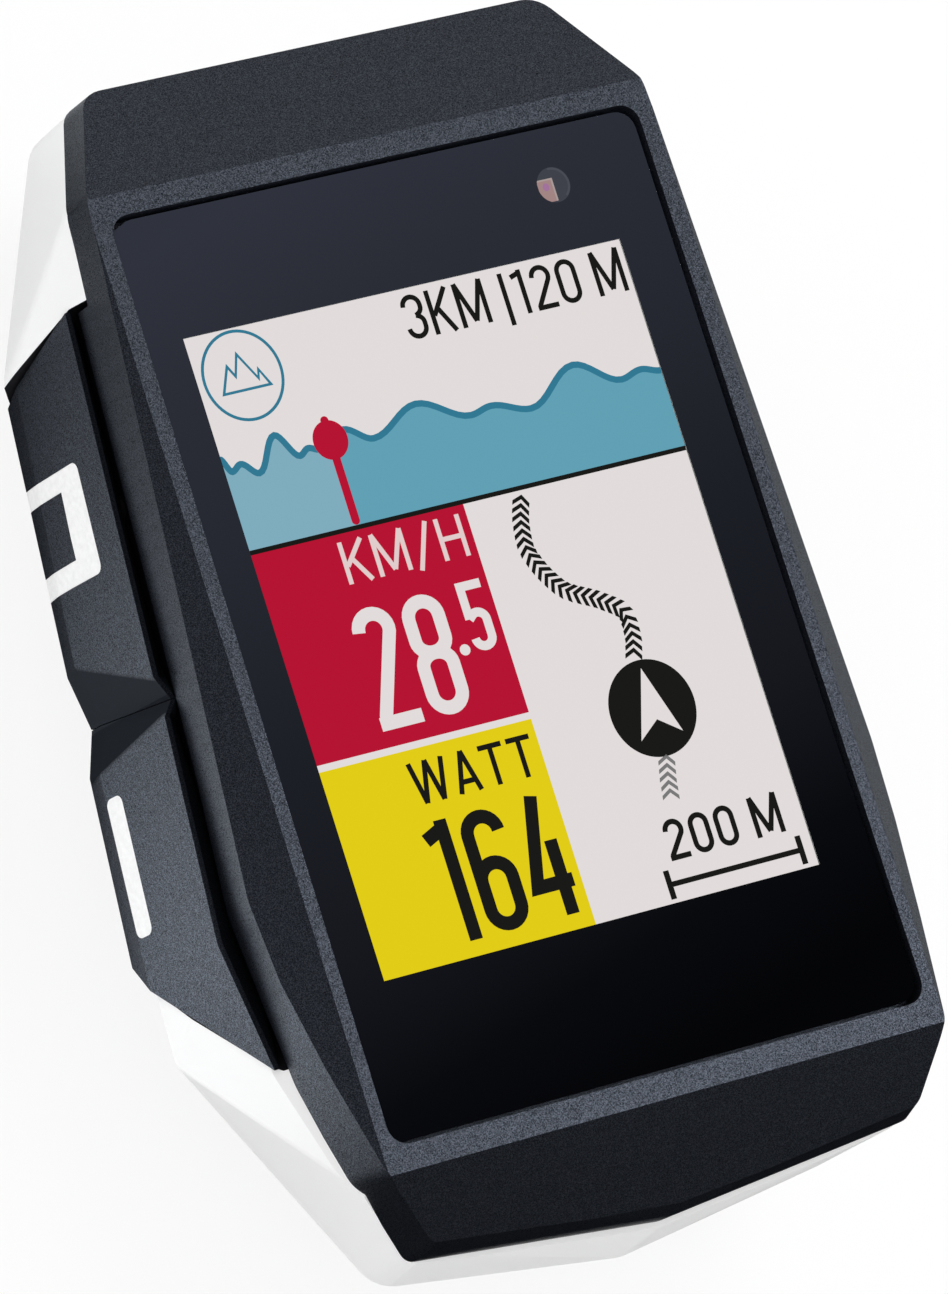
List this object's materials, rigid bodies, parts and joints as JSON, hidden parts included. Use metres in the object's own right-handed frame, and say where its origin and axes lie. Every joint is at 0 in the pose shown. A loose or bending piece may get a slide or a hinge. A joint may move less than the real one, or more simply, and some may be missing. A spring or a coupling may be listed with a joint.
{
  "type": "cycling computer",
  "caption": "Faceted handlebar computer with a colour screen under glass, side keys, white back shell, quarter-turn foot and a sealed charging port.",
  "frame": {"origin": "centre of the quarter-turn mount, on its end face, which is the lowest face of the object", "axes": "+Z out of the cover glass, +Y towards the top of the display, +X to the right seen from above"},
  "size_m": [0.0438, 0.0673, 0.0201],
  "materials": {
    "body_plastic": "fine dark blue-grey with a speckled sparkle",
    "cover_glass": "glossy cover glass with a black border",
    "black_rubber": "matte",
    "display_cell": "reflective display cell",
    "light_guide": "white light guide",
    "stamped_steel": "bright stamped sheet",
    "flex_film": "amber film",
    "black_nylon": "satin",
    "clear_plastic": "clear",
    "sensor_package": "moulded",
    "circuit_board": "solder mask",
    "antenna_ceramic": "fired ceramic",
    "battery_pouch": "foil pouch",
    "foam": "open foam",
    "wire_red": "insulation",
    "seal_rubber": "silicone",
    "shell_plastic": "smooth satin white",
    "membrane": "porous film",
    "screw_steel": "turned",
    "mount_plastic": "moulded black",
    "switch_plastic": "moulded",
    "key_plastic": "fine dark grey with a speckled sparkle",
    "mark_white": "printed white"
  },
  "bodies": {
    "housing": {"front_cover": "body_plastic", "cover_lens": "cover_glass", "lens_gasket": "black_rubber", "display_panel": "display_cell", "backlight_unit": "light_guide", "display_tray": "stamped_steel", "display_flex": "flex_film", "flex_connector": "black_nylon", "light_pipe": "clear_plastic", "light_sensor": "sensor_package", "main_board": "circuit_board", "shield_cans": "stamped_steel", "gps_antenna": "antenna_ceramic", "pressure_sensor": "stamped_steel", "buzzer": "black_nylon", "battery": "battery_pouch", "battery_pad": "foam", "battery_lead": "wire_red", "usb_connector": "stamped_steel", "housing_seal": "seal_rubber", "back_cover": "shell_plastic", "vent_membrane": "membrane", "case_screws": "screw_steel", "mount_puck": "mount_plastic", "mount_screws": "screw_steel", "side_switches": "switch_plastic", "left_key_seal": "black_rubber", "right_key_seal": "black_rubber"},
    "usb_flap": {"usb_cover": "black_rubber"},
    "left_upper_button": {"left_upper_key": "key_plastic", "left_upper_mark": "mark_white", "left_upper_plunger": "switch_plastic"},
    "left_lower_button": {"left_lower_key": "key_plastic", "left_lower_mark": "mark_white", "left_lower_plunger": "switch_plastic"},
    "right_upper_button": {"right_upper_key": "key_plastic", "right_upper_mark": "mark_white", "right_upper_plunger": "switch_plastic"},
    "right_lower_button": {"right_lower_key": "key_plastic", "right_lower_mark": "mark_white", "right_lower_plunger": "switch_plastic"}
  },
  "joints": [
    {"name": "usb_cover_hinge", "type": "hinge", "parent": "housing", "child": "usb_flap", "pos_m": [0, 0.03295, 0.00955], "axis": [-1, 0, 0], "range_deg": [0, 90]},
    {"name": "left_upper_press", "type": "slide", "parent": "housing", "child": "left_upper_button", "axis": [1, 0, 0], "range_m": [0, 0.00045], "stiffness_N_per_m": 50},
    {"name": "left_lower_press", "type": "slide", "parent": "housing", "child": "left_lower_button", "axis": [1, 0, 0], "range_m": [0, 0.00045], "stiffness_N_per_m": 50},
    {"name": "right_upper_press", "type": "slide", "parent": "housing", "child": "right_upper_button", "axis": [-1, 0, 0], "range_m": [0, 0.00045], "stiffness_N_per_m": 50},
    {"name": "right_lower_press", "type": "slide", "parent": "housing", "child": "right_lower_button", "axis": [-1, 0, 0], "range_m": [0, 0.00045], "stiffness_N_per_m": 50}
  ]
}
